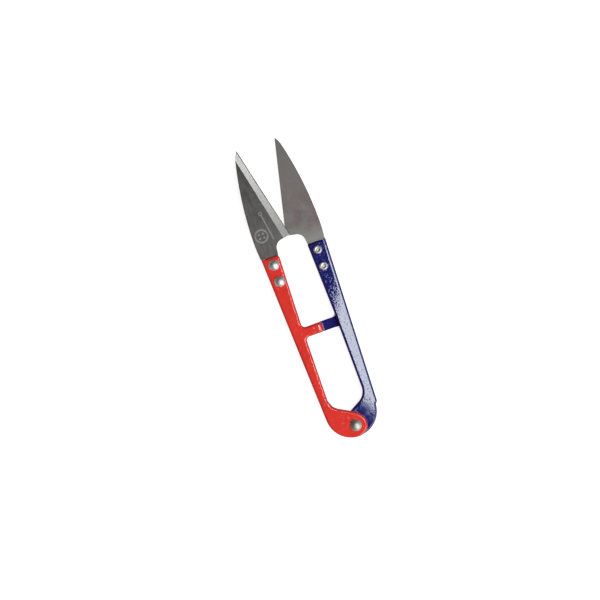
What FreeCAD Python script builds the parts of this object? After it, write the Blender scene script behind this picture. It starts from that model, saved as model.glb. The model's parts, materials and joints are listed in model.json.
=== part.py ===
"""Thread snips: two pressed handles that turn on one rivet, a ground blade riveted to each.

Every body is drawn with the pivot at X = Y = 0, the blades along +Y and the shear plane level.
The left half lies one sheet above the right half. Body placements then move the pivot back by
pivot_setback, so that the document's origin is under the middle of the whole tool. Millimetres.
"""
import FreeCAD, Part
import math
import os

import Sketcher

RIGHT = 1
LEFT = -1
NAMES = {LEFT: "left", RIGHT: "right"}
LINE = "line"
CAP = "cap"
FLARE = "flare"

# Driving dimensions: name, millimetres, meaning.
DIMENSIONS = [
    ("axis", 0.0, "the pivot axis, and the axis of anything turned"),
    # heights
    ("shear_plane", 4.4, "height of the plane where the two blades pass"),
    ("half_gap", 0.04, "from the shear plane to either blade"),
    ("blade_thickness", 1.2, "blade stock"),
    ("sheet_thickness", 1.1, "handle stock"),
    ("under_blade", 3.16, "underside of the right blade"),
    ("over_blade", 5.64, "top of the left blade, underside of the left sheet"),
    ("right_top", 5.46, "top of the right handle"),
    ("left_top", 6.74, "top of the left handle"),
    # position of the pivot in the finished frame
    ("pivot_setback", 49.1, "pivot behind the middle of the tool"),
    # handle outline
    ("front_end", 63.75, "front end of a handle"),
    ("front_inner", 5.15, "inner edge at the front end"),
    ("left_front_outer", 11.5, "left flange face at the front end"),
    ("left_rear_outer", 9.0, "left flange face at its rear end"),
    ("left_flange_rear", 5.1, "rear end of the left flange"),
    ("right_front_outer", 11.75, "right flange face at the front end"),
    ("right_rear_outer", 9.72, "right flange face at its rear end"),
    ("right_flange_rear", 5.3, "rear end of the right flange"),
    ("end_radius", 8.97, "rounded rear end"),
    ("end_shoulder_x", 8.95, "start of the rounded end"),
    ("end_shoulder_y", 4.3, "start of the rounded end"),
    ("lobe_radius", 4.05, "lobe round the pivot"),
    ("lobe_side_x", 3.73, "end of the round part of the lobe"),
    ("lobe_side_y", 1.58, "end of the round part of the lobe"),
    ("lobe_blend_radius", 7.3, "lobe into the inner edge"),
    ("lobe_blend_x", 0.3, "start of the straight inner edge"),
    ("lobe_blend_y", 4.98, "start of the straight inner edge"),
    ("corner_start_x", 3.63, "finger window corner"),
    ("corner_start_y", 7.16, "finger window corner"),
    ("corner_end_x", 6.25, "finger window corner"),
    ("corner_end_y", 11.55, "finger window corner"),
    ("corner_radius", 5.0, "finger window corner"),
    ("window_inner", 6.0, "inner edge at the crossbar"),
    ("bend_radius", 0.8, "outside of the flange bend"),
    ("bend_ease", 0.42, "width over which a bend starts slowly"),
    ("edge_round", 0.8, "rolled upper edge"),
    ("left_nose_radius", 1.1, "inner front corner of the left handle"),
    ("right_nose_radius", 0.4, "inner front corner of the right handle"),
    # crossbar tabs
    ("tab_rear", 33.8, "rear edge of both tabs"),
    ("tab_front", 37.4, "front edge of both tabs"),
    ("tab_root_radius", 1.3, "tab root corner"),
    ("left_tab_end", 0.72, "outer face of the left lip"),
    ("left_lip_bottom", 4.0, "lower end of the left lip"),
    ("lip_bend_radius", 1.15, "outside of the left lip bend"),
    ("right_tab_top", 3.2, "upper face of the stepped tab"),
    ("right_tab_bottom", 2.1, "lower face of the stepped tab"),
    ("right_lip_face", 0.44, "stop face of the right lip, left of the axis"),
    ("right_tab_end", 1.54, "end of the right tab, left of the axis"),
    ("right_lip_top", 4.9, "upper end of the right lip"),
    ("riser_outside", 7.1, "outer face of the step"),
    ("step_foot_radius", 1.0, "hollow at the foot of the step"),
    ("tab_fall", 0.3, "fall of the stepped tab's upper face, from the step to its lip"),
    # rivets that hold the blades
    ("rivet_x", 7.95, "blade rivets from the axis"),
    ("front_rivet_y", 60.85, "front blade rivet"),
    ("rear_rivet_y", 54.9, "rear blade rivet"),
    ("rivet_hole_radius", 1.03, "hole for a blade rivet"),
    ("rivet_radius", 1.0, "shank of a blade rivet"),
    ("rivet_head_radius", 1.88, "domed head of a blade rivet"),
    ("rivet_head_height", 1.15, "domed head of a blade rivet"),
    ("rivet_head_rim", 0.2, "straight rim of the domed head"),
    ("clinch_radius", 1.5, "clinched end of a blade rivet"),
    ("clinch_height", 0.75, "clinched end of a blade rivet"),
    ("clinch_crest", 1.0, "crest of the rolled end"),
    ("clinch_bulge", 0.14, "curve of the rolled end"),
    ("dimple_radius", 0.22, "bottom of the dimple in the rolled end"),
    ("dimple_depth", 0.6, "depth of the dimple in the rolled end"),
    # pivot
    ("pivot_hole_radius", 1.35, "pivot hole of either handle"),
    ("pivot_radius", 1.3, "pivot rivet shank"),
    ("pivot_head_radius", 2.03, "pivot rivet head"),
    ("pivot_head_height", 1.25, "pivot rivet head"),
    ("pivot_head_rim", 0.2, "straight rim of the pivot head"),
    ("washer_radius", 3.0, "washer under the coil"),
    ("washer_hole_radius", 1.33, "washer under the coil"),
    ("washer_bottom", 1.0, "underside of the washer"),
    ("washer_thickness", 0.45, "washer under the coil"),
    ("pivot_clinch_radius", 2.1, "clinched end of the pivot rivet"),
    ("pivot_clinch_bottom", 0.2, "lower end of the pivot rivet"),
    # torsion spring
    ("wire_radius", 0.4, "spring wire"),
    ("coil_radius", 2.3, "mean radius of the coil"),
    ("coil_low", 1.92, "wire centre at the lower end of the coil"),
    ("coil_high", 3.84, "wire centre at the upper end of the coil"),
    ("leg_bend_radius", 3.0, "bend from a level leg into the slope of the coil"),
    ("left_leg_x", 7.45, "point that the left leg is aimed at, beside its flange"),
    ("right_leg_x", 8.1, "point that the right leg is aimed at, beside its flange"),
    ("leg_end_y", 12.6, "point that a leg is aimed at, beside its flange"),
    # blade outline
    ("tip_x", 6.92, "blade tip"),
    ("tip_y", 102.1, "blade tip"),
    ("tip_radius", 10.0, "spine next to the tip"),
    ("spine_front_x", 8.5, "front end of the curved spine"),
    ("spine_front_y", 98.6, "front end of the curved spine"),
    ("spine_radius", 124.0, "curved spine"),
    ("spine_rear_x", 11.95, "widest point of the blade"),
    ("spine_rear_y", 70.0, "widest point of the blade"),
    ("root_radius", 63.0, "spine behind the widest point"),
    ("shoulder_outer", 11.6, "shoulder in front of the handle"),
    ("shoulder_y", 63.85, "shoulder in front of the handle"),
    ("tang_front_outer", 10.1, "tang beside the flange, front"),
    ("tang_rear_outer", 9.6, "tang beside the flange, rear"),
    ("tang_rear_inner", 6.1, "tang, inner rear corner"),
    ("tang_rear_y", 51.4, "rear end of the tang"),
    ("neck_rear_x", 5.5, "inner edge of the neck under the handle"),
    ("neck_rear_y", 62.8, "inner edge of the neck under the handle"),
    ("neck_front_x", 5.15, "start of the notch behind the heel"),
    ("neck_front_y", 65.3, "start of the notch behind the heel"),
    ("notch_radius", 3.0, "notch behind the heel"),
    ("notch_end_x", 3.0, "end of the notch"),
    ("notch_end_y", 68.3, "end of the notch"),
    ("heel_x", 0.78, "heel of the cutting edge, across the axis"),
    ("heel_y", 69.0, "heel of the cutting edge"),
    ("spine_round", 0.15, "rounded edges of the spine"),
    ("bevel_width", 1.97, "ground bevel, from its foot to the face of the blade"),
    ("bevel_foot", 0.5, "height left at the foot of the ground bevel"),
    ("foot_at_heel", 0.6, "foot of the bevel inside the cutting edge, at the heel"),
    ("foot_at_tip", 0.1, "foot of the bevel inside the cutting edge, at the tip"),
    ("hone_width", 0.28, "honed strip, square to the cutting edge"),
    ("edge_land", 0.08, "height left at the cutting edge"),
]
SIZE = {name: number for name, number, meaning in DIMENSIONS}

doc = FreeCAD.newDocument("ThreadSnips")


def build_sheet():
    """Put the driving dimensions in a spreadsheet, one aliased cell each."""
    sheet = doc.addObject("Spreadsheet::Sheet", "dimensions")
    for row, (name, number, meaning) in enumerate(DIMENSIONS, start=1):
        sheet.set(f"A{row}", name)
        sheet.set(f"B{row}", str(number))
        sheet.setAlias(f"B{row}", name)
        sheet.set(f"C{row}", meaning)
    doc.recompute()


def formula(text):
    """Turn names joined by + and - into an expression on the spreadsheet."""
    words = [word if word in ("+", "-") else f"<<dimensions>>.{word}" for word in text.split()]
    return " ".join(words)


def amount(text):
    """Work out the same names and signs as a number."""
    total = 0.0
    sign = 1
    for word in text.split():
        if word in ("+", "-"):
            sign = 1 if word == "+" else -1
        else:
            total += sign * SIZE[word]
            sign = 1
    return total


def bind(item, **properties):
    """Bind properties of an object to the spreadsheet."""
    for name, text in properties.items():
        item.setExpression(name, formula(text))


def new_body(label):
    """Start a part whose pivot lies pivot_setback behind the document's origin."""
    body = doc.addObject("PartDesign::Body", label)
    body.Label = label
    body.setExpression("Placement.Base.y", formula("- pivot_setback"))
    return body


def origin_plane(body, role):
    """Find one of the body's own origin planes."""
    for feature in body.Origin.OriginFeatures:
        if feature.Role == role:
            return feature
    raise ValueError(role)


def sketch_on(body, name, role="XY_Plane", level=None):
    """Add a sketch to an origin plane, raised to a level where one is given."""
    sketch = body.newObject("Sketcher::SketchObject", name)
    sketch.AttachmentSupport = [(origin_plane(body, role), "")]
    sketch.MapMode = "FlatFace"
    if level:
        sketch.setExpression("AttachmentOffset.Base.z", formula(level))
    return sketch


def fix_coordinate(sketch, kind, element, point, side, text):
    """Hold one coordinate of a point at a formula, mirrored where side is LEFT."""
    index = sketch.addConstraint(
        Sketcher.Constraint(kind, -1, 1, element, point, side * amount(text)))
    sketch.setExpression(f"Constraints[{index}]", f"{side} * ({formula(text)})")


def draw_outline(sketch, corners, side=RIGHT):
    """Draw a closed outline from (x, y, radius, turn) corners.

    The edge that leaves a corner is straight where radius is None. Otherwise it is an arc of that
    radius, which turns left (turn = 1) or right (turn = -1) on the right-hand half.
    """
    places = [FreeCAD.Vector(side * amount(corner[0]), amount(corner[1]), 0) for corner in corners]
    for index, (x, y, radius, turn) in enumerate(corners):
        start = places[index]
        end = places[(index + 1) % len(places)]
        if radius is None:
            sketch.addGeometry(Part.LineSegment(start, end))
            continue
        chord = end - start
        half = chord.Length / 2
        bend = turn * side
        sagitta = SIZE[radius] - math.sqrt(SIZE[radius] ** 2 - half ** 2)
        outward = FreeCAD.Vector(chord.y, -chord.x, 0).normalize()
        middle = (start + end) / 2 + outward * sagitta * bend
        arc = Part.Arc(start, middle, end)
        sketch.addGeometry(arc)
    ends = []
    for index, corner in enumerate(corners):
        reverse = corner[2] is not None and corner[3] * side < 0
        ends.append((2, 1) if reverse else (1, 2))
    for index, (x, y, radius, turn) in enumerate(corners):
        following = (index + 1) % len(corners)
        sketch.addConstraint(
            Sketcher.Constraint("Coincident", index, ends[index][1], following, ends[following][0]))
        fix_coordinate(sketch, "DistanceX", index, ends[index][0], side, x)
        fix_coordinate(sketch, "DistanceY", index, ends[index][0], RIGHT, y)
        if radius is not None:
            held = sketch.addConstraint(Sketcher.Constraint("Radius", index, SIZE[radius]))
            sketch.setExpression(f"Constraints[{held}]", formula(radius))


def straight(*places):
    """Corners of an outline with straight edges only."""
    return [(x, y, None, 0) for x, y in places]


def draw_profile(sketch, corners):
    """Draw a closed profile from (x, height) corners and hold it where it is.

    An arc leaves a corner that has a third item: the (x, height) of the arc's middle.
    """
    places = [FreeCAD.Vector(corner[0], corner[1], 0) for corner in corners]
    for index, corner in enumerate(corners):
        start = places[index]
        end = places[(index + 1) % len(places)]
        if len(corner) == 3:
            sketch.addGeometry(Part.Arc(start, FreeCAD.Vector(*corner[2], 0), end))
        else:
            sketch.addGeometry(Part.LineSegment(start, end))
        sketch.addConstraint(Sketcher.Constraint("Block", index))


def pad(body, sketch, name, length):
    """Raise a sketch by a named length."""
    feature = body.newObject("PartDesign::Pad", name)
    feature.Profile = sketch
    bind(feature, Length=length)
    sketch.Visibility = False
    doc.recompute()
    return feature


def pad_outline(body, name, corners, side, level, length):
    """Draw an outline at a level and raise it."""
    sketch = sketch_on(body, f"{name}_outline", level=level)
    draw_outline(sketch, corners, side)
    return pad(body, sketch, name, length)


def drill(body, name, side, holes):
    """Cut round holes, given as (x, y, radius), right through the body."""
    sketch = sketch_on(body, f"{name}_circles")
    for index, (x, y, radius) in enumerate(holes):
        centre = FreeCAD.Vector(side * amount(x), amount(y), 0)
        sketch.addGeometry(Part.Circle(centre, FreeCAD.Vector(0, 0, 1), SIZE[radius]))
        if x == "axis":
            sketch.addConstraint(Sketcher.Constraint("Coincident", index, 3, -1, 1))
        else:
            fix_coordinate(sketch, "DistanceX", index, 3, side, x)
            fix_coordinate(sketch, "DistanceY", index, 3, RIGHT, y)
        held = sketch.addConstraint(Sketcher.Constraint("Radius", index, SIZE[radius]))
        sketch.setExpression(f"Constraints[{held}]", formula(radius))
    pocket = body.newObject("PartDesign::Pocket", name)
    pocket.Profile = sketch
    pocket.Type = "ThroughAll"
    pocket.Midplane = True
    doc.recompute()


def round_edges(body, name, radius, chosen):
    """Fillet the edges of the body's tip that pass a test on their middle point and ends."""
    base = body.Tip
    names = []
    for number, edge in enumerate(base.Shape.Edges, start=1):
        middle = edge.valueAt((edge.FirstParameter + edge.LastParameter) / 2)
        ends = [vertex.Point for vertex in edge.Vertexes]
        if chosen(middle, ends):
            names.append(f"Edge{number}")
    if not names:
        raise ValueError(f"{name}: no edge found")
    fillet = body.newObject("PartDesign::Fillet", name)
    fillet.Base = (base, names)
    bind(fillet, Radius=radius)
    doc.recompute()
    if not fillet.Shape.isValid() or fillet.Shape.Volume >= base.Shape.Volume * 1.05:
        raise ValueError(f"{name}: fillet failed")
    return fillet


def is_upright(ends, x, y, reach=0.3):
    """True for an upright edge that stands near a plan position."""
    if len(ends) != 2 or abs(ends[0].z - ends[1].z) < 0.3:
        return False
    return all(math.hypot(end.x - x, end.y - y) < reach for end in ends)


def tab_corners(end):
    """Plan of a crossbar tab from its rear root corner round its end to its front root corner."""
    return [
        ("window_inner", "tab_rear - tab_root_radius", "tab_root_radius", 1),
        ("window_inner - tab_root_radius", "tab_rear", None, 0),
        (end, "tab_rear", None, 0),
        (end, "tab_front", None, 0),
        ("window_inner - tab_root_radius", "tab_front", "tab_root_radius", 1),
        ("window_inner", "tab_front + tab_root_radius", None, 0),
    ]


def handle_corners(side):
    """Plan of one handle, from the front outer corner, clockwise. Only the left tab is level."""
    crossbar = [
        ("window_inner", "tab_rear - tab_root_radius", None, 0),
        ("window_inner", "tab_front + tab_root_radius", None, 0),
    ]
    if side == LEFT:
        crossbar = tab_corners("- left_tab_end + lip_bend_radius + bend_ease")
    return [
        (f"{NAMES[side]}_front_outer", "front_end", None, 0),
        (f"{NAMES[side]}_rear_outer", f"{NAMES[side]}_flange_rear", None, 0),
        ("end_shoulder_x", "end_shoulder_y", "end_radius", -1),
        ("axis", "- lobe_radius", "lobe_radius", -1),
        ("- lobe_side_x", "lobe_side_y", "lobe_blend_radius", -1),
        ("- lobe_blend_x", "lobe_blend_y", None, 0),
        ("corner_start_x", "corner_start_y", "corner_radius", 1),
        ("corner_end_x", "corner_end_y", None, 0),
        *crossbar,
        ("front_inner", "front_end", None, 0),
    ]


def build_handle(label, side, level, top, nose_radius):
    """Press one handle: sheet, flange, crossbar tab and holes."""
    body = new_body(label)
    pad_outline(body, f"{label}_sheet", handle_corners(side), side, level, "sheet_thickness")
    round_edges(
        body, f"{label}_nose", nose_radius,
        lambda middle, ends: is_upright(ends, side * SIZE["front_inner"], SIZE["front_end"]))
    if side == LEFT:
        add_lip(body, label)
    round_edges(
        body, f"{label}_rolled_edge", "edge_round",
        lambda middle, ends: is_inner_rim(middle, ends, side, top))
    name = NAMES[side]
    flange = straight(
        (f"{name}_front_outer", "front_end"),
        (f"{name}_rear_outer", f"{name}_flange_rear"),
        (f"{name}_rear_outer - sheet_thickness", f"{name}_flange_rear"),
        (f"{name}_front_outer - sheet_thickness", "front_end"))
    pad_outline(body, f"{label}_flange", flange, side, None, top)
    round_flange_bend(body, label, side, top)
    if side == RIGHT:
        add_stepped_tab(body, label)
    drill(body, f"{label}_holes", side, [
        ("axis", "axis", "pivot_hole_radius"),
        ("rivet_x", "front_rivet_y", "rivet_hole_radius"),
        ("rivet_x", "rear_rivet_y", "rivet_hole_radius")])
    return body


def is_inner_rim(middle, ends, side, top):
    """True for an edge of the top face that isn't on the flange bend or the front end."""
    if abs(middle.z - SIZE[top]) > 0.01 or any(abs(end.z - SIZE[top]) > 0.01 for end in ends):
        return False
    at_front = abs(middle.y - SIZE["front_end"]) < 0.05
    beside_flange = middle.y > SIZE[f"{NAMES[side]}_flange_rear"]
    at_flange = beside_flange and side * middle.x > SIZE["corner_end_x"] + 1
    return not at_front and not at_flange


def bend_corners(radius, x=0.0, z=0.0):
    """Outside of a bend from a level face at height z down to an upright face at x.

    A slow arc turns the sheet through its first few degrees and the bend proper turns the rest.
    """
    tilt = math.radians(5)
    slow = SIZE["bend_ease"] / math.sin(tilt)
    knee_x = x - radius * (1 - math.sin(tilt))
    knee_z = z - slow * (1 - math.cos(tilt))
    foot_z = knee_z - radius * math.cos(tilt)
    start_x = knee_x - SIZE["bend_ease"]
    slow_middle = (start_x + slow * math.sin(tilt / 2), z - slow * (1 - math.cos(tilt / 2)))
    turn = (tilt + math.pi / 2) / 2
    bend_middle = (x - radius + radius * math.sin(turn), foot_z + radius * math.cos(turn))
    return [(start_x, z, slow_middle), (knee_x, knee_z, bend_middle), (x, foot_z)]


def add_lip(body, label):
    """Bend the end of the left tab down into a hooked lip, as one profile across the tab."""
    sketch = sketch_on(body, f"{label}_lip_profile", "XZ_Plane", "- tab_front")
    top = SIZE["left_top"]
    sheet = SIZE["sheet_thickness"]
    face = SIZE["left_tab_end"]
    bottom = SIZE["left_lip_bottom"]
    outside = bend_corners(SIZE["lip_bend_radius"], face, top)
    start_x = outside[0][0]
    buried = 0.2
    draw_profile(sketch, [
        (start_x - buried, top),
        *outside,
        (face, bottom),
        (face - sheet, bottom),
        (face - sheet, top - sheet),
        (start_x - buried, top - sheet),
    ])
    pad(body, sketch, f"{label}_lip", "tab_front - tab_rear")


def add_stepped_tab(body, label):
    """Right tab: stepped down to pass under the left one, its end turned up into a lip."""
    riser = straight(
        ("riser_outside", "tab_front + tab_root_radius"),
        ("riser_outside", "tab_rear - tab_root_radius"),
        ("window_inner", "tab_rear - tab_root_radius"),
        ("window_inner", "tab_front + tab_root_radius"))
    riser_height = "right_top - edge_round - right_tab_bottom"
    pad_outline(body, f"{label}_riser", riser, RIGHT, "right_tab_bottom", riser_height)
    tab = tab_corners("- right_tab_end") + straight(
        ("riser_outside", "tab_front + tab_root_radius"),
        ("riser_outside", "tab_rear - tab_root_radius"))
    pad_outline(
        body, f"{label}_tab", tab, RIGHT, "right_tab_bottom", "right_tab_top - right_tab_bottom")
    lip = straight(
        ("- right_lip_face", "tab_front"),
        ("- right_lip_face", "tab_rear"),
        ("- right_tab_end", "tab_rear"),
        ("- right_tab_end", "tab_front"))
    pad_outline(
        body, f"{label}_lip", lip, RIGHT, "right_tab_bottom", "right_lip_top - right_tab_bottom")
    fill_step_foot(body, label)
    slope_tab(body, label)


def slope_tab(body, label):
    """Cut the stepped tab's upper face so that it falls away from the step."""
    sketch = sketch_on(body, f"{label}_slope_profile", "XZ_Plane")
    floor = SIZE["right_tab_top"]
    lip = -SIZE["right_lip_face"]
    foot = SIZE["window_inner"] - SIZE["step_foot_radius"]
    above = floor + 0.1
    draw_profile(sketch, [(foot, floor), (lip, floor - SIZE["tab_fall"]), (lip, above), (foot, above)])
    cut_along(body, sketch, f"{label}_slope", True)


def fill_step_foot(body, label):
    """Add the hollow fillet where the tab turns up into its arm."""
    sketch = sketch_on(body, f"{label}_foot_profile", "XZ_Plane", "- tab_front")
    radius = SIZE["step_foot_radius"]
    wall = SIZE["window_inner"]
    floor = SIZE["right_tab_top"]
    buried = 0.2
    hollow = radius * (1 - math.sqrt(0.5))
    draw_profile(sketch, [
        (wall - radius, floor, (wall - hollow, floor + hollow)),
        (wall, floor + radius),
        (wall + buried, floor + radius),
        (wall + buried, floor - buried),
        (wall - radius, floor - buried),
    ])
    pad(body, sketch, f"{label}_step_foot", "tab_front - tab_rear")


def build_blade(label, side, level, bevel_up):
    """Grind one blade: outline, rivet holes and the bevel along the cutting edge."""
    body = new_body(label)
    corners = [
        ("tip_x", "tip_y", "tip_radius", -1),
        ("spine_front_x", "spine_front_y", "spine_radius", -1),
        ("spine_rear_x", "spine_rear_y", "root_radius", -1),
        ("shoulder_outer", "shoulder_y", None, 0),
        ("tang_front_outer", "shoulder_y", None, 0),
        ("tang_rear_outer", "tang_rear_y", None, 0),
        ("tang_rear_inner", "tang_rear_y", None, 0),
        ("neck_rear_x", "neck_rear_y", None, 0),
        ("neck_front_x", "neck_front_y", "notch_radius", 1),
        ("notch_end_x", "notch_end_y", None, 0),
        ("- heel_x", "heel_y", None, 0),
    ]
    pad_outline(body, f"{label}_stock", corners, side, level, "blade_thickness")
    round_edges(
        body, f"{label}_spine_edge", "spine_round",
        lambda middle, ends: side * middle.x > SIZE["spine_front_x"]
        and middle.y > SIZE["shoulder_y"] + 1 and abs(ends[0].z - ends[1].z) < 0.01)
    drill(body, f"{label}_holes", side, [
        ("rivet_x", "front_rivet_y", "rivet_hole_radius"),
        ("rivet_x", "rear_rivet_y", "rivet_hole_radius")])
    grind_bevel(body, label, side, level, bevel_up)
    return body


def profile_across(body, name, side, start, end, level):
    """Add a sketch that stands square to a plan line at its start.

    The sketch's first axis points out of the right-hand half, its second axis points up.
    """
    run = amount(end[0]) - amount(start[0])
    rise = amount(end[1]) - amount(start[1])
    sketch = sketch_on(body, name, "XZ_Plane")
    turn = FreeCAD.Rotation(FreeCAD.Vector(0, 1, 0), -side * math.degrees(math.atan2(run, rise)))
    place = FreeCAD.Vector(side * amount(start[0]), amount(level), -amount(start[1]))
    sketch.AttachmentOffset = FreeCAD.Placement(place, turn)
    return sketch


def cut_along(body, sketch, name, both_ways):
    """Cut a profile out of the body along the line that it stands across."""
    before = body.Tip.Shape.Volume
    pocket = body.newObject("PartDesign::Pocket", name)
    pocket.Profile = sketch
    pocket.Type = "ThroughAll"
    pocket.Midplane = both_ways
    doc.recompute()
    if pocket.Shape.Volume >= before:
        raise ValueError(f"{name} cut nothing")


def round_flange_bend(body, label, side, top):
    """Cut the outside corner of the flange bend to its radius, over the length of the flange."""
    rear = (f"{NAMES[side]}_rear_outer", f"{NAMES[side]}_flange_rear")
    front = (f"{NAMES[side]}_front_outer", "front_end")
    sketch = profile_across(body, f"{label}_bend_profile", side, rear, front, top)
    start, knee, foot = bend_corners(SIZE["bend_radius"])
    spill = 0.5
    corners = [start, knee, foot, (spill, foot[1]), (spill, spill), (start[0], spill)]
    mirrored = []
    for x, z, *middle in corners:
        mirrored.append((side * x, z, *[(side * place[0], place[1]) for place in middle]))
    draw_profile(sketch, mirrored)
    cut_along(body, sketch, f"{label}_bend", False)


def grind_bevel(body, label, side, level, bevel_up):
    """Cut the ground bevel, which widens towards the heel, and the steeper strip honed on its edge."""
    slope = (SIZE["blade_thickness"] - SIZE["bevel_foot"]) / SIZE["bevel_width"]
    hone_slope = (SIZE["bevel_foot"] - SIZE["edge_land"]) / SIZE["hone_width"]
    cut_slope(
        body, f"{label}_bevel", side, level, bevel_up,
        ("- heel_x + foot_at_heel", "heel_y"), ("tip_x + foot_at_tip", "tip_y"),
        SIZE["bevel_foot"], slope)
    cut_slope(
        body, f"{label}_hone", side, level, bevel_up,
        ("- heel_x", "heel_y"), ("tip_x", "tip_y"), SIZE["edge_land"], hone_slope)


def cut_slope(body, name, side, level, bevel_up, start, end, foot, slope):
    """Cut away all that lies over a slope, which is at height foot on a plan line."""
    sketch = profile_across(body, f"{name}_profile", side, start, end, level)
    top = SIZE["blade_thickness"]
    spill = 0.1
    outside = min(foot / slope, SIZE["foot_at_heel"] + spill)
    beyond = (top - foot) / slope + spill
    points = [
        (-outside, foot - outside * slope),
        (beyond, foot + beyond * slope),
        (-outside, foot + beyond * slope),
    ]
    if not bevel_up:
        points = [(x, top - z) for x, z in points]
    draw_profile(sketch, [(side * x, z) for x, z in points])
    cut_along(body, sketch, name, True)


def turned_body(label, side, place, profile):
    """Turn a profile of (radius, height) corners about an upright axis at a plan position.

    Each corner is (radius, height, edge). The edge that leaves it is LINE or a named kind of arc:
    CAP is part of a sphere centred on the axis, and FLARE stands a little proud of its chord.
    """
    body = doc.addObject("PartDesign::Body", label)
    body.Label = label
    x, y = place
    body.setExpression("Placement.Base.x", f"{side} * {formula(x)}")
    body.setExpression("Placement.Base.y", formula(f"{y} - pivot_setback"))
    sketch = sketch_on(body, f"{label}_profile", "XZ_Plane")
    corners = [(amount(radius), amount(height)) for radius, height, kind in profile]
    for index, (radius, height, kind) in enumerate(profile):
        if kind != LINE:
            bulge = cap_middle if kind == CAP else flare_middle
            start = FreeCAD.Vector(*corners[index][:2], 0)
            end = FreeCAD.Vector(*corners[(index + 1) % len(corners)][:2], 0)
            middle = bulge(start, end)
            corners[index] = (start.x, start.y, (middle.x, middle.y))
    draw_profile(sketch, corners)
    turned = body.newObject("PartDesign::Revolution", f"{label}_turned")
    turned.Profile = sketch
    turned.ReferenceAxis = (sketch, ["V_Axis"])
    turned.Angle = 360
    sketch.Visibility = False
    doc.recompute()
    return body


def cap_middle(start, end):
    """Middle of an arc between a rim and a pole on the axis, whose centre is on the axis."""
    rim, pole = (start, end) if end.x == 0 else (end, start)
    rise = pole.y - rim.y
    radius = (rim.x ** 2 + rise ** 2) / (2 * abs(rise))
    half = math.asin(rim.x / radius) / 2
    drop = math.copysign(radius * (1 - math.cos(half)), rise)
    return FreeCAD.Vector(radius * math.sin(half), pole.y - drop, 0)


def flare_middle(start, end):
    """Middle of an arc that stands proud of its chord by clinch_bulge."""
    chord = end - start
    outward = FreeCAD.Vector(chord.y, -chord.x, 0).normalize()
    return (start + end) / 2 + outward * SIZE["clinch_bulge"]


def build_blade_rivet(label, side, y, bottom, top, head_up):
    """Turn one blade rivet: dome on one face of the joint, dimpled clinched end on the other."""
    if head_up:
        profile = [
            ("axis", f"{bottom} - clinch_height + dimple_depth", LINE),
            ("dimple_radius", f"{bottom} - clinch_height + dimple_depth", FLARE),
            ("clinch_crest", f"{bottom} - clinch_height", FLARE),
            ("clinch_radius", bottom, LINE),
            ("rivet_radius", bottom, LINE),
            ("rivet_radius", top, LINE),
            ("rivet_head_radius", top, LINE),
            ("rivet_head_radius", f"{top} + rivet_head_rim", CAP),
            ("axis", f"{top} + rivet_head_height", LINE),
        ]
    else:
        profile = [
            ("axis", f"{bottom} - rivet_head_height", CAP),
            ("rivet_head_radius", f"{bottom} - rivet_head_rim", LINE),
            ("rivet_head_radius", bottom, LINE),
            ("rivet_radius", bottom, LINE),
            ("rivet_radius", top, LINE),
            ("clinch_radius", top, FLARE),
            ("clinch_crest", f"{top} + clinch_height", FLARE),
            ("dimple_radius", f"{top} + clinch_height - dimple_depth", LINE),
            ("axis", f"{top} + clinch_height - dimple_depth", LINE),
        ]
    return turned_body(label, side, ("rivet_x", y), profile)


def build_pivot_rivet():
    """Turn the rivet that both handles turn on."""
    profile = [
        ("axis", "pivot_clinch_bottom", LINE),
        ("pivot_radius", "pivot_clinch_bottom", FLARE),
        ("pivot_clinch_radius", "washer_bottom", LINE),
        ("pivot_radius", "washer_bottom", LINE),
        ("pivot_radius", "left_top", LINE),
        ("pivot_head_radius", "left_top", LINE),
        ("pivot_head_radius", "left_top + pivot_head_rim", CAP),
        ("axis", "left_top + pivot_head_height", LINE),
    ]
    return turned_body("pivot_rivet", RIGHT, ("axis", "axis"), profile)


def build_washer():
    """Cut the flat washer that holds the coil on the pivot rivet."""
    profile = [
        ("washer_hole_radius", "washer_bottom", LINE),
        ("washer_radius", "washer_bottom", LINE),
        ("washer_radius", "washer_bottom + washer_thickness", LINE),
        ("washer_hole_radius", "washer_bottom + washer_thickness", LINE),
    ]
    return turned_body("pivot_washer", RIGHT, ("axis", "axis"), profile)


def build_spring():
    """Wind the torsion spring: a coil round the pivot rivet and a straight leg along each arm.

    The wire comes in along the left leg, climbs the helix counter-clockwise and leaves along the
    right leg. Both legs are level, and a short arc turns each one into the slope of the helix.
    """
    coil = SIZE["coil_radius"]
    full_turns = 2
    left_contact, left_leg = leg_reach("left_leg_x")
    right_contact, right_leg = leg_reach("right_leg_x")
    low_angle = math.pi - left_contact
    high_angle = right_contact + 2 * math.pi * (full_turns + 1)
    rise = SIZE["coil_high"] - SIZE["coil_low"]
    pitch = rise / (high_angle - low_angle) * 2 * math.pi
    helix = Part.makeHelix(pitch, rise, coil)
    helix.rotate(FreeCAD.Vector(), FreeCAD.Vector(0, 0, 1), math.degrees(low_angle))
    helix.translate(FreeCAD.Vector(0, 0, SIZE["coil_low"]))

    climb = math.atan(pitch / (2 * math.pi * coil))
    before, left_end = leg_edges(low_angle, SIZE["coil_low"], climb, -1, left_leg)
    after, right_end = leg_edges(high_angle, SIZE["coil_high"], climb, 1, right_leg)
    path = Part.Wire([*before, *helix.Edges, *after])
    start = Part.Circle(left_end, heading(low_angle), SIZE["wire_radius"])
    solid = path.makePipeShell([Part.Wire(start.toShape())], True, True)
    expected = math.pi * SIZE["wire_radius"] ** 2 * path.Length
    if abs(solid.Volume / expected - 1) > 0.001:
        raise ValueError("spring sweep has the wrong volume")
    spring = doc.addObject("Part::Feature", "torsion_spring")
    spring.Label = "torsion_spring"
    spring.Shape = solid
    spring.setExpression("Placement.Base.y", formula("- pivot_setback"))
    return spring


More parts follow.
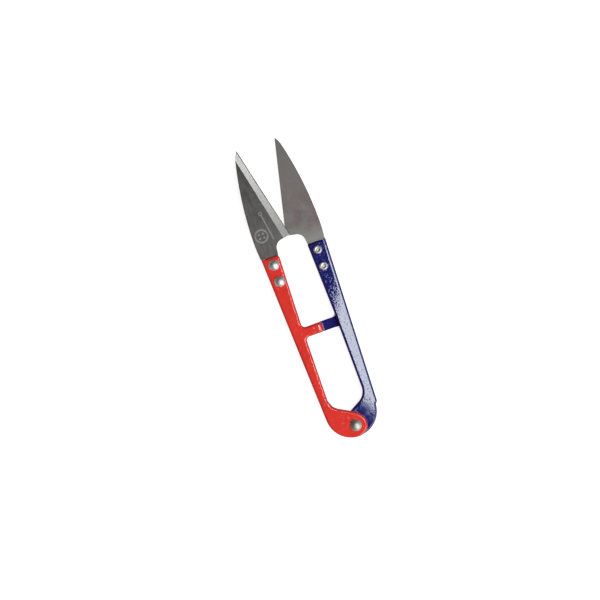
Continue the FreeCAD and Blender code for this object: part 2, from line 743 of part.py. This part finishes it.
def leg_reach(aim):
    """Angle on the coil where a leg leaves for its aim, on the right-hand side, and its length."""
    coil = SIZE["coil_radius"]
    reach = math.hypot(SIZE[aim], SIZE["leg_end_y"])
    contact = math.atan2(SIZE["leg_end_y"], SIZE[aim]) - math.acos(coil / reach)
    return contact, math.sqrt(reach ** 2 - coil ** 2)


def heading(angle):
    """Direction of counter-clockwise travel on the coil at an angle."""
    return FreeCAD.Vector(-math.sin(angle), math.cos(angle), 0)


def leg_edges(angle, height, climb, way, length):
    """Edges of one spring leg in order along the wire, and the point at its free end.

    way is 1 where the leg follows the coil and -1 where it comes before it.
    """
    up = FreeCAD.Vector(0, 0, 1)
    along = heading(angle) * way
    coil = SIZE["coil_radius"]
    radius = SIZE["leg_bend_radius"]
    joint = FreeCAD.Vector(coil * math.cos(angle), coil * math.sin(angle), height)
    bent = joint + along * math.sin(climb) * radius + up * (1 - math.cos(climb)) * radius * way
    middle = bent - along * math.sin(climb / 2) * radius - up * (1 - math.cos(climb / 2)) * radius * way
    tip = bent + along * length
    if way > 0:
        return [Part.Arc(joint, middle, bent).toShape(), Part.makeLine(bent, tip)], tip
    return [Part.makeLine(tip, bent), Part.Arc(bent, middle, joint).toShape()], tip


def check_document():
    """Stop if any object failed or any part's shape is missing or broken."""
    for item in doc.Objects:
        if "Invalid" in item.State or "Error" in item.State:
            raise RuntimeError(f"{item.Name} failed: {item.State}")
    for item in parts:
        if item.Shape.isNull() or not item.Shape.isValid():
            raise RuntimeError(f"{item.Label} has no valid shape")
        if len(item.Shape.Solids) != 1:
            raise RuntimeError(f"{item.Label} is not one solid")


build_sheet()
parts = [
    build_handle("left_handle", LEFT, "over_blade", "left_top", "left_nose_radius"),
    build_handle("right_handle", RIGHT, "right_top - sheet_thickness", "right_top", "right_nose_radius"),
    build_blade("left_blade", LEFT, "shear_plane + half_gap", True),
    build_blade("right_blade", RIGHT, "under_blade", False),
    build_pivot_rivet(),
    build_washer(),
    build_spring(),
]
for name, y in (("front", "front_rivet_y"), ("rear", "rear_rivet_y")):
    parts.append(build_blade_rivet(
        f"left_{name}_rivet", LEFT, y, "shear_plane + half_gap", "left_top", True))
    parts.append(build_blade_rivet(
        f"right_{name}_rivet", RIGHT, y, "under_blade", "right_top", False))
doc.recompute()
check_document()
os.makedirs("parts", exist_ok=True)
for part in parts:
    part.Shape.exportStep(f"parts/{part.Label}.step")
    print(part.Label, round(part.Shape.Volume, 2), "mm3")
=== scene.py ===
"""Thread snips: materials, spring, etched mark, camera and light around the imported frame. Metres."""
import bpy
import json
import math
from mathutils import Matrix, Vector


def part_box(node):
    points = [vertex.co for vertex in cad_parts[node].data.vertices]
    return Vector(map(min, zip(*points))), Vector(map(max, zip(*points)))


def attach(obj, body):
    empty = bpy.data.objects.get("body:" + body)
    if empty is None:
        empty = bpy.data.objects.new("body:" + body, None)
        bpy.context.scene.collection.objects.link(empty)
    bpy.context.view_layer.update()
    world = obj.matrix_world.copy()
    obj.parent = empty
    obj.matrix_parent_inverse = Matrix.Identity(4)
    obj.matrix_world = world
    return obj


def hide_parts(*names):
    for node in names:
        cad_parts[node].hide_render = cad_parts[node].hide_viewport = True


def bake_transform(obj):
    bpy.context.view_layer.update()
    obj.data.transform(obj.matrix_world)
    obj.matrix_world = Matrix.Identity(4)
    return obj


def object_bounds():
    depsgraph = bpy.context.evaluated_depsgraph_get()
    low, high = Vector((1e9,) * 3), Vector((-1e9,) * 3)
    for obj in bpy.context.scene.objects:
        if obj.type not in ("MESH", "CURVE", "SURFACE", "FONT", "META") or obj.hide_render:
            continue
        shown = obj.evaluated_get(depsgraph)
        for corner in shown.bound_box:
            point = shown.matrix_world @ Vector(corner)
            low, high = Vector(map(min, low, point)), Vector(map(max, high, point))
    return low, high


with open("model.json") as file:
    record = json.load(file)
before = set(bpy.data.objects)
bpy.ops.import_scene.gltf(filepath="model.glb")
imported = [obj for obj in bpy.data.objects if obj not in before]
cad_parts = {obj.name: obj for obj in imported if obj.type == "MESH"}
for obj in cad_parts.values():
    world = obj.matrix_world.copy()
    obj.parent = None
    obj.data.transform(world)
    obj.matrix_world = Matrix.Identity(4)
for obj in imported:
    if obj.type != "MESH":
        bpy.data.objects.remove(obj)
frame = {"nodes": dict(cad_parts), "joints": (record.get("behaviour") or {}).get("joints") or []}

MM = 0.001
CAD_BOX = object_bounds()

# The pivot's place, from the joint. The blades point along +Y from it.
PIVOT = Vector(frame["joints"][0]["pos_m"])
RED = (0.95, 0.050, 0.037)
NAVY = (0.018, 0.019, 0.172)

# Upward shares of the normal where a rolled edge or bend leaves the top face, and where it
# reaches the side. Between them the enamel is given painted shade.
TOP_TO_BEND = (0.94, 0.70)
SIDE_TO_BEND = (0.05, 0.35)

# Shares of a blade's normal towards its outer side, where the honed strip gives way to the bevel
# and the bevel to the outer face, and towards its inner side, where the lapped face starts.
HONED_TO_BEVEL = (0.8, 0.9)
BEVEL_TO_OUTER = (0.975, 0.99)
EDGE_TO_LAPPED = (0.95, 0.99)

# Turn of the grinding lines, to suit the lean of the cutting edge.
GRIND_TURN = math.radians(13.1)


# --- materials ------------------------------------------------------------------------------


class Shader:
    """A material's node tree with short ways to add and join nodes."""

    def __init__(self, name):
        self.material = bpy.data.materials.new(name)
        self.material.use_nodes = True
        self.tree = self.material.node_tree
        self.surface = self.tree.nodes["Principled BSDF"]

    def add(self, kind, settings=None, **inputs):
        """Add a node. Inputs are numbers, colours or (node, output) pairs."""
        node = self.tree.nodes.new(kind)
        for name, value in (settings or {}).items():
            setattr(node, name, value)
        for name, value in inputs.items():
            self.set(node, name.replace("_", " "), value)
        return node

    def set(self, node, name, value):
        """Set or link one input, found by name or number."""
        socket = node.inputs[int(name)] if name.isdigit() else node.inputs[name]
        if isinstance(value, tuple) and isinstance(value[0], bpy.types.Node):
            self.tree.links.new(value[0].outputs[value[1]], socket)
        else:
            socket.default_value = value

    def finish(self, **inputs):
        """Set the surface's own inputs and return the material."""
        for name, value in inputs.items():
            self.set(self.surface, name.replace("_", " "), value)
        return self.material

    def place(self, stretch=(1, 1, 1), turn=0.0):
        """The piece's own coordinates, turned about +Z and stretched for grain that runs one way."""
        coordinates = self.add("ShaderNodeTexCoord")
        turned = self.add(
            "ShaderNodeMapping", Vector=(coordinates, "Object"), Rotation=(0, 0, turn))
        return self.add("ShaderNodeMapping", Vector=(turned, "Vector"), Scale=stretch)

    def noise(self, scale, stretch=(1, 1, 1), detail=3.0, rough=0.5, turn=0.0, warp=0.0):
        """A noise texture of a given number of cells per metre."""
        return self.add(
            "ShaderNodeTexNoise", Vector=(self.place(stretch, turn), "Vector"),
            Scale=scale, Detail=detail, Roughness=rough, Distortion=warp)

    def ramp(self, source, low, high, start=0.0, end=1.0):
        """Map a value from low..high to start..end, clamped."""
        return self.add(
            "ShaderNodeMapRange", Value=source,
            From_Min=low, From_Max=high, To_Min=start, To_Max=end)

    def mix(self, factor, first, second):
        """Mix two colours."""
        node = self.add("ShaderNodeMix", {"data_type": "RGBA"})
        self.set(node, "0", factor)
        self.set(node, "6", first)
        self.set(node, "7", second)
        return node, 2

    def bump(self, height, depth, below=None):
        """A bump node of a depth in metres, stacked on another one where one is given."""
        node = self.add("ShaderNodeBump", Height=height, Strength=1.0, Distance=depth)
        if below:
            self.set(node, "Normal", (below, "Normal"))
        return node

    def upward(self):
        """Upward share of the surface normal in the piece's own coordinates."""
        coordinates = self.add("ShaderNodeTexCoord")
        split = self.add("ShaderNodeSeparateXYZ", Vector=(coordinates, "Normal"))
        return split, "Z"

    def fade(self, start, end):
        """0 at one point of the piece and 1 at another, with straight contours between them."""
        run = end - start
        steps = run / run.length_squared
        coordinates = self.add("ShaderNodeTexCoord")
        dot = self.add(
            "ShaderNodeVectorMath", {"operation": "DOT_PRODUCT"},
            **{"0": (coordinates, "Object"), "1": steps})
        low = steps.dot(start)
        return self.ramp((dot, "Value"), low, low + 1)


def rgba(colour, share=1.0):
    """A colour with full alpha, made lighter or darker."""
    return tuple(channel * share for channel in colour) + (1.0,)


def grey(level):
    """A neutral grey."""
    return (level, level, level, 1.0)


def warm_grey(level):
    """The slightly yellow grey of bare steel."""
    return (level * 1.05, level, level * 0.93, 1.0)


def from_pivot(x, y, z=0.0):
    """A point given in millimetres from the pivot axis and the floor."""
    return Vector((PIVOT.x + x * MM, PIVOT.y + y * MM, z * MM))


def enamel(name, colour, peel_depth, ripple_depth):
    """Gloss enamel on pressed steel: orange peel, slow ripples and a few dust nibs.

    Rolled edges and bends are painted darker where they turn from the top face to the side: painted
    shade.
    """
    shader = Shader(name)
    peel = shader.noise(2000, detail=0.5)
    ripple = shader.noise(170, detail=2.0)
    nib = shader.noise(1500, detail=1.0)
    tone = shader.ramp((ripple, "Fac"), 0.3, 0.7)
    paint = shader.mix((tone, "Result"), rgba(colour, 0.95), rgba(colour, 1.05))
    # Painted shade: on the curve of rolled edges and bends the enamel colour is mixed towards a copy at
    # 0.55 of its brightness.
    upward = shader.upward()
    off_top = shader.ramp(upward, *TOP_TO_BEND)
    off_side = shader.ramp(upward, *SIDE_TO_BEND)
    painted_bend_shade = shader.add(
        "ShaderNodeMath", {"operation": "MULTIPLY"},
        **{"0": (off_top, "Result"), "1": (off_side, "Result")})
    paint_with_bend_shade = shader.mix((painted_bend_shade, "Value"), paint, rgba(colour, 0.55))
    rough = shader.ramp((nib, "Fac"), 0.56, 0.72, 0.015, 0.17)
    slow = shader.bump((ripple, "Fac"), ripple_depth)
    bumped = shader.bump((peel, "Fac"), peel_depth, slow)
    return shader.finish(
        Base_Color=paint_with_bend_shade, Roughness=(rough, "Result"), Normal=(bumped, "Normal"), IOR=1.5)


def ground_blade(name, side, outer_up):
    """Blade steel: dark outer face, bright ground bevel, honed strip painted near-black as painted
    shade, lapped inner face.

    The outer face and the lapped inner face are painted darker towards the tip and lighter at the
    root, as painted reflection; the ground bevel brightens towards the tip.
    """
    shader = Shader(name)
    up = 1 if outer_up else -1
    lean = -side * GRIND_TURN
    upward = shader.upward()
    outer = shader.ramp(upward, *[share * up for share in BEVEL_TO_OUTER])
    inner = shader.ramp(upward, *[-share * up for share in EDGE_TO_LAPPED])
    ground = shader.ramp(upward, *[share * up for share in HONED_TO_BEVEL])

    # Painted reflection: the outer face and the lapped face are made darker towards the tip, and the
    # lapped face lighter at the root, where the blade reflects a brighter part of the room. The ground
    # bevel brightens towards the tip.
    scale_painted_reflection = shader.fade(from_pivot(side * 4.5, 66), from_pivot(side * 14, 90))
    bevel_fade = shader.fade(from_pivot(side * 1, 71), from_pivot(side * 6.9, 99))
    root_painted_reflection = shader.fade(from_pivot(side * 8, 71), from_pivot(side * 8, 65))
    lap_painted_reflection = shader.fade(from_pivot(side * 5, 76), from_pivot(side * 9, 88))

    streak = shader.noise(900, stretch=(1, 0.25, 1), detail=4.0, rough=0.6)
    scuff = shader.noise(330, detail=5.0, rough=0.7, warp=0.5)
    streaks = shader.ramp((streak, "Fac"), 0.3, 0.7)
    scuffs = shader.ramp((scuff, "Fac"), 0.45, 0.75)
    # Bright and dim tones of the outer face, blended by the painted reflection towards the tip.
    scale_painted_bright = shader.mix((streaks, "Result"), warm_grey(0.092), warm_grey(0.152))
    scale_painted_dim = shader.mix((streaks, "Result"), warm_grey(0.068), warm_grey(0.116))
    scale_with_painted_reflection = shader.mix((scale_painted_reflection, "Result"), scale_painted_bright, scale_painted_dim)
    scuffed = shader.mix((scuffs, "Result"), grey(0.0), grey(0.35))
    scaled = shader.mix(scuffed, scale_with_painted_reflection, warm_grey(0.15))

    wheel = shader.noise(4200, stretch=(0.3, 1, 1), detail=3.0, turn=lean)
    wheeled = shader.ramp((wheel, "Fac"), 0.32, 0.68)
    near_heel = shader.mix((wheeled, "Result"), (0.34, 0.34, 0.32, 1), (0.54, 0.54, 0.51, 1))
    near_tip = shader.mix((wheeled, "Result"), (0.84, 0.84, 0.81, 1), (0.99, 0.99, 0.96, 1))
    bright = shader.mix((bevel_fade, "Result"), near_heel, near_tip)
    # Painted shade: the steep honed strip gets a near-black steel colour, so it shows dark instead of
    # reflecting the bright floor.
    edged = shader.mix((ground, "Result"), warm_grey(0.07), bright)

    cloud = shader.noise(105, detail=5.0, rough=0.65, warp=0.5)
    grit = shader.noise(3600, stretch=(0.5, 1, 1), detail=3.0, turn=lean)
    stain = shader.ramp((cloud, "Fac"), 0.38, 0.56)
    specks = shader.ramp((grit, "Fac"), 0.3, 0.7)
    # Bright and dim tones of the lapped face, blended by the painted reflection towards the tip.
    lap_painted_bright = shader.mix((specks, "Result"), warm_grey(0.155), warm_grey(0.205))
    lap_painted_dim = shader.mix((specks, "Result"), (0.165, 0.147, 0.137, 1), (0.205, 0.186, 0.172, 1))
    clean = shader.mix((lap_painted_reflection, "Result"), lap_painted_bright, lap_painted_dim)
    purple = shader.mix((lap_painted_reflection, "Result"), (0.160, 0.121, 0.122, 1), lap_painted_dim)
    stained = shader.mix((stain, "Result"), clean, purple)
    # Painted reflection: the lapped face lighter at the root.
    lapped = shader.mix((root_painted_reflection, "Result"), stained, warm_grey(0.225))

    with_outer = shader.mix((outer, "Result"), edged, scaled)
    colour = shader.mix((inner, "Result"), with_outer, lapped)
    rough = shader.ramp((grit, "Fac"), 0.3, 0.7, 0.42, 0.54)
    lines = shader.bump((streak, "Fac"), 0.000004)
    grained = shader.bump((wheel, "Fac"), 0.000003, lines)
    return shader.finish(
        Base_Color=colour, Roughness=(rough, "Result"), Normal=(grained, "Normal"), Metallic=1.0)


def plated(name, colour, low, high):
    """Plated or drawn metal with fine wear."""
    shader = Shader(name)
    wear = shader.noise(1800, detail=4.0)
    shade = shader.ramp((wear, "Fac"), 0.35, 0.7)
    tint = shader.mix((shade, "Result"), rgba(colour), rgba(colour, 0.86))
    rough = shader.ramp((wear, "Fac"), 0.3, 0.7, low, high)
    worn = shader.bump((wear, "Fac"), 0.000004)
    return shader.finish(
        Base_Color=tint, Roughness=(rough, "Result"), Normal=(worn, "Normal"), Metallic=1.0)


def etched(name):
    """Acid-etched mark: paler and duller than the scale round it, worn through in places."""
    shader = Shader(name)
    wear = shader.noise(700, detail=4.0, rough=0.65)
    gone = shader.ramp((wear, "Fac"), 0.46, 0.66)
    colour = shader.mix((gone, "Result"), warm_grey(0.30), warm_grey(0.21))
    return shader.finish(Base_Color=colour, Roughness=0.55, Metallic=1.0)


def backdrop_paper(name):
    """Pale matt floor with a faint tooth, lit from behind like a light table."""
    shader = Shader(name)
    tooth = shader.noise(900, detail=2.0)
    tone = shader.ramp((tooth, "Fac"), 0.3, 0.7)
    paper = shader.mix((tone, "Result"), grey(0.38), grey(0.40))
    return shader.finish(
        Base_Color=paper, Roughness=0.9, Emission_Color=(1, 1, 1, 1), Emission_Strength=0.90)


MATERIALS = {
    "left_handle": enamel("red_enamel", RED, 0.0000009, 0.000003),
    "right_handle": enamel("blue_enamel", NAVY, 0.0000030, 0.0000005),
    "left_blade": ground_blade("left_blade_steel", -1, True),
    "right_blade": ground_blade("right_blade_steel", 1, False),
    "pivot_rivet": plated("pivot_nickel", (0.60, 0.59, 0.55), 0.48, 0.58),
    "pivot_washer": plated("washer_zinc", (0.55, 0.56, 0.57), 0.3, 0.45),
    "torsion_spring": plated("spring_steel", (0.30, 0.30, 0.31), 0.25, 0.4),
}
NICKEL = plated("rivet_nickel", (0.80, 0.79, 0.77), 0.48, 0.58)


def paint_nodes():
    """Give every CAD node its material."""
    for name, node in frame["nodes"].items():
        node.data.materials.clear()
        node.data.materials.append(MATERIALS.get(name, NICKEL))


# --- pieces ---------------------------------------------------------------------------------


def new_piece(name, vertices, faces, material, smooth=True):
    """A mesh object with one material."""
    mesh = bpy.data.meshes.new(name)
    mesh.from_pydata([tuple(vertex) for vertex in vertices], [], faces)
    mesh.validate()
    mesh.polygons.foreach_set("use_smooth", [smooth] * len(mesh.polygons))
    mesh.materials.append(material)
    mesh.update()
    piece = bpy.data.objects.new(name, mesh)
    bpy.context.scene.collection.objects.link(piece)
    return piece


def round_wire(path, radius, sides=20):
    """Vertices and faces of a wire along a path, with its two ends rounded off."""
    vertices = []
    rings = []
    up = Vector((0, 0, 1))
    for index, point in enumerate(path):
        ahead = path[min(index + 1, len(path) - 1)]
        behind = path[max(index - 1, 0)]
        along = (ahead - behind).normalized()
        across = along.cross(up).normalized()
        over = across.cross(along)
        shares = [1.0]
        if index in (0, len(path) - 1):
            shares = [WIRE_END_SHARE, 1.0] if index == 0 else [1.0, WIRE_END_SHARE]
        for share in shares:
            shift = along * radius * (1 - share) * (1 if index else -1)
            ring = []
            for step in range(sides):
                angle = 2 * math.pi * step / sides
                spoke = across * math.cos(angle) + over * math.sin(angle)
                ring.append(len(vertices))
                vertices.append(point + shift + spoke * radius * share)
            rings.append(ring)
    faces = []
    for first, second in zip(rings, rings[1:]):
        for step in range(sides):
            following = (step + 1) % sides
            faces.append((first[step], second[step], second[following], first[following]))
    faces.append(tuple(rings[0]))
    faces.append(tuple(reversed(rings[-1])))
    return vertices, faces


# The spring, in millimetres from the pivot axis and the floor.
COIL_RADIUS = 2.3
COIL_LOW = 1.92
COIL_HIGH = 3.84
WIRE_RADIUS = 0.4
LEFT_LEG = (7.45, 12.6)
RIGHT_LEG = (8.1, 12.6)
WHOLE_TURNS = 3
END_TURN_EASE = 0.12
WIRE_END_SHARE = 0.72


def leg_from_coil(aim):
    """Angle where a leg leaves the coil for its aim, on the right-hand side, and its length."""
    reach = math.hypot(*aim)
    contact = math.atan2(aim[1], aim[0]) - math.acos(COIL_RADIUS / reach)
    return contact, math.sqrt(reach ** 2 - COIL_RADIUS ** 2)


def make_spring():
    """Torsion spring round the pivot: its left leg reaches towards the red half, its right towards the
    blue.
    """
    left_contact, left_length = leg_from_coil(LEFT_LEG)
    right_contact, right_length = leg_from_coil(RIGHT_LEG)
    low_angle = math.pi - left_contact
    high_angle = right_contact + 2 * math.pi * WHOLE_TURNS
    turn_steps = 150
    coil = []
    for step in range(turn_steps + 1):
        share = step / turn_steps
        angle = low_angle + (high_angle - low_angle) * share
        eased = share - math.sin(2 * math.pi * share) / (2 * math.pi) * END_TURN_EASE
        height = COIL_LOW + (COIL_HIGH - COIL_LOW) * eased
        coil.append(from_pivot(
            COIL_RADIUS * math.cos(angle), COIL_RADIUS * math.sin(angle), height))
    into = Vector((math.sin(low_angle), -math.cos(low_angle), 0)) * left_length * MM
    out = Vector((-math.sin(high_angle), math.cos(high_angle), 0)) * right_length * MM
    leg_steps = 12
    before = [coil[0] + into * (1 - step / leg_steps) for step in range(leg_steps)]
    after = [coil[-1] + out * (step + 1) / leg_steps for step in range(leg_steps)]
    vertices, faces = round_wire(before + coil + after, WIRE_RADIUS * MM)
    spring = new_piece("spring", vertices, faces, MATERIALS["torsion_spring"])
    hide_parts("torsion_spring")
    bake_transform(spring)


def ribbon(points, width, low, high, closed):
    """A flat stroke of constant width along plan points, as a thin closed strip or ring."""
    count = len(points)
    vertices = []
    for index, point in enumerate(points):
        ahead = points[(index + 1) % count] if closed else points[min(index + 1, count - 1)]
        behind = points[index - 1] if closed else points[max(index - 1, 0)]
        along = (ahead - behind).normalized()
        across = Vector((-along.y, along.x)) * width / 2
        left = point + across
        right = point - across
        vertices += [(left, low), (right, low), (right, high), (left, high)]
    faces = []
    for ring in range(count if closed else count - 1):
        base = 4 * ring
        beyond = 4 * ((ring + 1) % count)
        for corner in range(4):
            following = (corner + 1) % 4
            faces.append((base + corner, beyond + corner, beyond + following, base + following))
    if not closed:
        last = 4 * (count - 1)
        faces.append((0, 1, 2, 3))
        faces.append((last + 3, last + 2, last + 1, last))
    return [from_pivot(place.x, place.y, level) for place, level in vertices], faces


def circle_points(centre, radius, steps):
    """Plan points round a circle."""
    angles = [2 * math.pi * step / steps for step in range(steps)]
    return [centre + Vector((math.cos(angle), math.sin(angle))) * radius for angle in angles]


def dot(centre, radius, steps, low, high):
    """A flat round dot as a thin closed disc."""
    rim = circle_points(centre, radius, steps)
    vertices = [from_pivot(place.x, place.y, level) for level in (low, high) for place in rim]
    faces = [tuple(reversed(range(steps))), tuple(range(steps, 2 * steps))]
    for step in range(steps):
        following = (step + 1) % steps
        faces.append((step, following, steps + following, steps + step))
    return vertices, faces


def make_mark():
    """A plain four-hole button beside a needle, etched where makers put a mark on the left blade."""
    button = Vector((-8.65, 71.6))
    button_radius = 2.15
    rim_width = 0.6
    hole_offset = 0.72
    hole_radius = 0.4
    eye = Vector((-6.5, 79.0))
    point = Vector((-4.95, 69.3))
    eye_radius = 0.5
    eye_width = 0.3
    shank_width = 0.45
    rim_steps = 48
    small_steps = 20
    sunk = 0.004
    proud = 0.006
    along = (eye - point).normalized()
    shank_end = eye - along * (eye_radius + eye_width / 2)
    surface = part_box("left_blade")[1].z / MM
    low = surface - sunk
    high = surface + proud
    rim = circle_points(button, button_radius, rim_steps)
    loop = circle_points(eye, eye_radius, small_steps)
    shapes = [
        ribbon(rim, rim_width, low, high, closed=True),
        ribbon(loop, eye_width, low, high, closed=True),
        ribbon([point, shank_end], shank_width, low, high, closed=False),
    ]
    for across in (-hole_offset, hole_offset):
        for forward in (-hole_offset, hole_offset):
            hole = button + Vector((across, forward))
            shapes.append(dot(hole, hole_radius, small_steps, low, high))
    vertices = []
    faces = []
    for more, joined in shapes:
        faces += [tuple(index + len(vertices) for index in face) for face in joined]
        vertices += more
    mark = new_piece("left_blade_mark", vertices, faces, etched("etched_steel"), smooth=False)
    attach(mark, "root")


# --- stage ----------------------------------------------------------------------------------


def make_camera():
    """Look straight down on the tool, which leans 19.68 degrees in the picture."""
    height = 0.5
    across = 0.2043
    lean = math.radians(19.68)
    data = bpy.data.cameras.new("camera")
    data.sensor_width = 36.0
    data.lens = data.sensor_width * height / across
    camera = bpy.data.objects.new("camera", data)
    centre = Vector((-3.57, 46.66, 0)) * MM + Vector((PIVOT.x, PIVOT.y, CAD_BOX[1][2]))
    camera.location = centre + Vector((0, 0, height))
    camera.rotation_euler = (0, 0, -lean)
    bpy.context.scene.collection.objects.link(camera)
    bpy.context.scene.camera = camera


def soft_light(name, place, target, width, length, radiance, colour=(1, 1, 1), shape="RECTANGLE"):
    """An area light of a given radiance that faces a point."""
    data = bpy.data.lights.new(name, "AREA")
    data.shape = shape
    data.size = width
    data.size_y = length
    data.color = colour
    area = width * length * (1 if shape == "RECTANGLE" else math.pi / 4)
    data.energy = radiance * math.pi * area
    light = bpy.data.objects.new(name, data)
    light.location = place
    light.rotation_euler = (Vector(target) - Vector(place)).to_track_quat("-Z", "Y").to_euler()
    light.visible_camera = False
    bpy.context.scene.collection.objects.link(light)


def make_room():
    """A room that is light towards -Y and +X and dark on the other sides."""
    world = bpy.data.worlds.new("room")
    world.use_nodes = True
    tree = world.node_tree
    sky = tree.nodes["Background"]
    coordinates = tree.nodes.new("ShaderNodeTexCoord")
    towards = tree.nodes.new("ShaderNodeVectorMath")
    towards.operation = "DOT_PRODUCT"
    light_side = (0.45, -0.82, 0.35)
    towards.inputs[1].default_value = light_side
    shade = tree.nodes.new("ShaderNodeMapRange")
    shade.interpolation_type = "SMOOTHSTEP"
    for name, value in (("From Min", 0.35), ("From Max", 0.95), ("To Min", 0.16), ("To Max", 2.2)):
        shade.inputs[name].default_value = value
    tree.links.new(coordinates.outputs["Generated"], towards.inputs[0])
    tree.links.new(towards.outputs["Value"], shade.inputs["Value"])
    tree.links.new(shade.outputs["Result"], sky.inputs["Strength"])
    bpy.context.scene.world = world


def make_stage():
    """Pale floor, a round softbox overhead, a panel on the right and one in front."""
    bpy.ops.mesh.primitive_plane_add(size=4.0)
    floor = bpy.context.object
    floor.name = "floor"
    floor.data.materials.append(backdrop_paper("paper"))
    cool = (0.92, 0.965, 1.0)
    overhead = (0.1347, -0.0755, 1.0)
    below = (0.1347, -0.0755, 0.0)
    soft_light(
        "overhead", overhead, below,
        width=0.24, length=0.24, radiance=14.4, colour=cool, shape="DISK")
    soft_light(
        "right_panel", (0.62, -0.10, 1.0), (0, -0.10, 0), width=0.5, length=0.42, radiance=4.0)
    soft_light(
        "front_panel", (0.45, -0.75, 0.8), (0, 0, 0), width=0.9, length=0.9, radiance=3.6)


paint_nodes()
make_spring()
make_mark()
make_camera()
make_room()
make_stage()
bpy.context.scene.view_settings.view_transform = "Standard"
